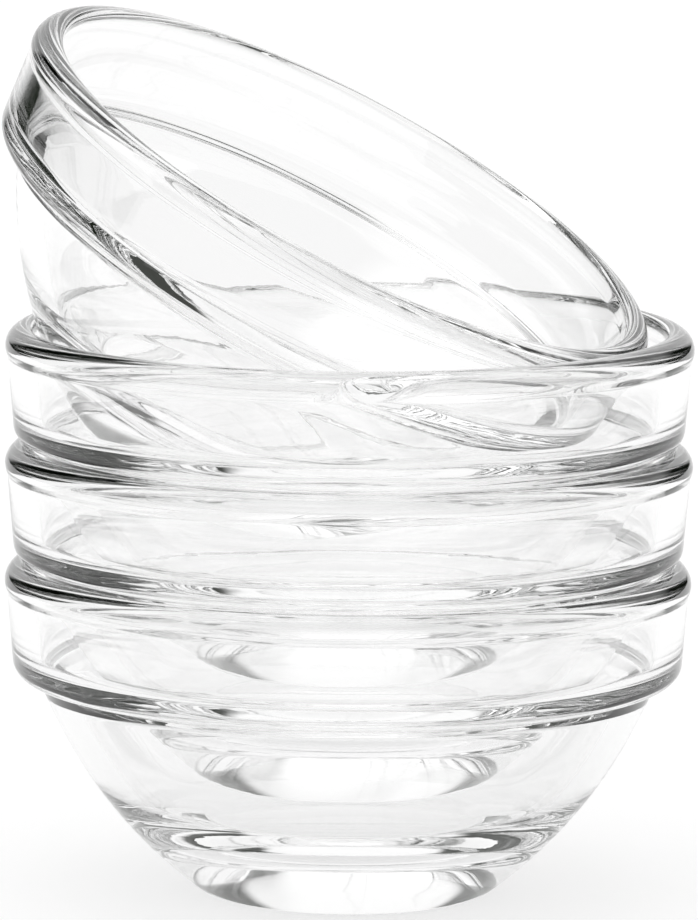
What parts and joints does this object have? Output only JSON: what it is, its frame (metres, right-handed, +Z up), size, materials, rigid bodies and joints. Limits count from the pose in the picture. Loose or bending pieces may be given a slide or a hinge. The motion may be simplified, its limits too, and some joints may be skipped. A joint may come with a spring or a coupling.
{
  "type": "prep bowl stack",
  "caption": "Clear pressed-glass prep bowls with rolled lips, stepped shoulders and small flat feet, nested in an upright stack with the top bowl set askew.",
  "frame": {"origin": "centre of the bottom bowl's foot, on the face that rests on the table", "axes": "+Z up along the axis of the nested bowls; -Y towards the viewer; the top bowl's low side points to +X, turned 18.5 degrees towards -Y"},
  "size_m": [0.0904, 0.0905, 0.1148],
  "materials": {
    "clear_glass": "clear pressed soda-lime glass, fire-polished"
  },
  "bodies": {
    "bottom_bowl": {"bottom_bowl": "clear_glass"},
    "second_bowl": {"second_bowl": "clear_glass"},
    "third_bowl": {"third_bowl": "clear_glass"},
    "top_bowl": {"top_bowl": "clear_glass"}
  },
  "joints": [
    {"name": "second_lift", "type": "slide", "parent": "bottom_bowl", "child": "second_bowl", "axis": [0, 0, 1], "range_m": [0, 0.03]},
    {"name": "third_lift", "type": "slide", "parent": "second_bowl", "child": "third_bowl", "axis": [0, 0, 1], "range_m": [0, 0.03]},
    {"name": "top_lift", "type": "slide", "parent": "third_bowl", "child": "top_bowl", "axis": [0, 0, 1], "range_m": [0, 0.03]}
  ]
}
